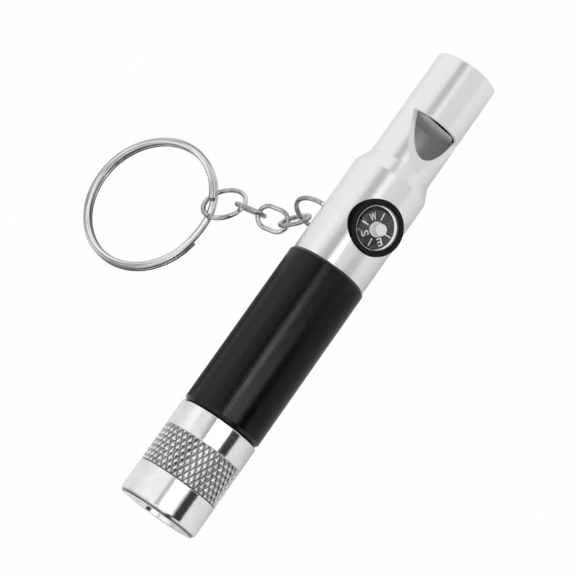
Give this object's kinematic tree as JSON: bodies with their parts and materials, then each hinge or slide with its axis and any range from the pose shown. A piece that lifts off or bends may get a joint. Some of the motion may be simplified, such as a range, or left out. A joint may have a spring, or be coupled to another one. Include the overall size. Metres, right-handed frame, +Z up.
{
  "type": "survival whistle",
  "caption": "Tubular whistle with a button compass set in its side, a small screw-in torch at one end, and a short key chain with a split ring.",
  "frame": {"origin": "middle of the floor under the whole object, which lies on its side with its chain laid out behind it", "axes": "+X along the tube from the torch to the whistle's mouth, +Y towards the split ring, +Z up"},
  "size_m": [0.0878, 0.0592, 0.0149],
  "materials": {
    "bright_aluminium": "polished",
    "white_plastic": "matt",
    "clear_epoxy": "clear, gloss",
    "board": "matt",
    "black_aluminium": "black anodised, satin",
    "seal_rubber": "matt",
    "sleeve_plastic": "matt",
    "cell_steel": "bright",
    "spring_steel": "bright",
    "satin_aluminium": "satin, anodised",
    "plug_plastic": "matt grey",
    "case_plastic": "gloss black",
    "brass": "bright",
    "dial_plastic": "matt dark grey",
    "magnet_steel": "dull",
    "cap_plastic": "gloss white",
    "clear_plastic": "clear, gloss",
    "plated_steel": "nickel plated"
  },
  "bodies": {
    "whistle": {"battery_tube": "black_aluminium", "seal_ring": "seal_rubber", "battery_sleeve": "sleeve_plastic", "cell_1": "cell_steel", "cell_2": "cell_steel", "cell_3": "cell_steel", "cell_4": "cell_steel", "contact_spring": "spring_steel", "whistle_body": "satin_aluminium", "windway_plug": "plug_plastic", "compass_case": "case_plastic", "compass_pivot": "brass", "compass_lens": "clear_plastic"},
    "dial": {"compass_dial": "dial_plastic", "dial_magnet": "magnet_steel", "dial_cap": "cap_plastic"},
    "led_unit": {"led_holder": "white_plastic", "led": "clear_epoxy", "contact_board": "board"},
    "torch_head": {"head": "bright_aluminium"},
    "eye_ring": {"eye_ring": "plated_steel"},
    "link_1": {"link_1": "plated_steel"},
    "link_2": {"link_2": "plated_steel"},
    "link_3": {"link_3": "plated_steel"},
    "end_ring": {"end_ring": "plated_steel"},
    "split_ring": {"split_ring": "plated_steel"}
  },
  "joints": [
    {"name": "dial_turn", "type": "hinge", "parent": "whistle", "child": "dial", "pos_m": [0.01275, -0.0247, 0.00921], "axis": [0, -0.7771, 0.6293], "continuous": true},
    {"name": "lamp_forward", "type": "slide", "parent": "whistle", "child": "led_unit", "axis": [-1, 0, 0], "range_m": [0, 0.00075]},
    {"name": "head_unscrew", "type": "hinge", "parent": "led_unit", "child": "torch_head", "pos_m": [-0.035, -0.02134, 0.007], "axis": [-1, 0, 0], "range_deg": [0, 360]},
    {"name": "eye_ring_swing", "type": "hinge", "parent": "whistle", "child": "eye_ring", "pos_m": [0.01235, -0.01607, 0.00543], "axis": [-0.2632, -0.2346, -0.9358], "range_deg": [-12, 12]},
    {"name": "link_1_swing", "type": "hinge", "parent": "eye_ring", "child": "link_1", "pos_m": [0.01025, -0.00955, 0.00261], "axis": [-0.1358, -0.6305, -0.7642], "range_deg": [-15, 30]},
    {"name": "link_2_swing", "type": "hinge", "parent": "link_1", "child": "link_2", "pos_m": [0.00827, -0.00594, 0.00145], "axis": [0.7195, 0.182, -0.6703], "range_deg": [-15, 30]},
    {"name": "link_3_swing", "type": "hinge", "parent": "link_2", "child": "link_3", "pos_m": [0.00755, -0.00185, 0.00248], "axis": [-0.9294, -0.0713, -0.3621], "range_deg": [-25, 25]},
    {"name": "end_ring_swing", "type": "hinge", "parent": "link_3", "child": "end_ring", "pos_m": [0.00719, 0.00241, 0.00218], "axis": [0.213, -0.0502, -0.9758], "range_deg": [-15, 30]},
    {"name": "split_ring_swing", "type": "hinge", "parent": "end_ring", "child": "split_ring", "pos_m": [0.00532, 0.00666, 0.00084], "axis": [0.8973, 0.4415, 0], "range_deg": [-6, 45]}
  ],
  "couplings": [
    {"joint": "lamp_forward", "follows": "head_unscrew", "m_per_rad": 0.000119}
  ]
}
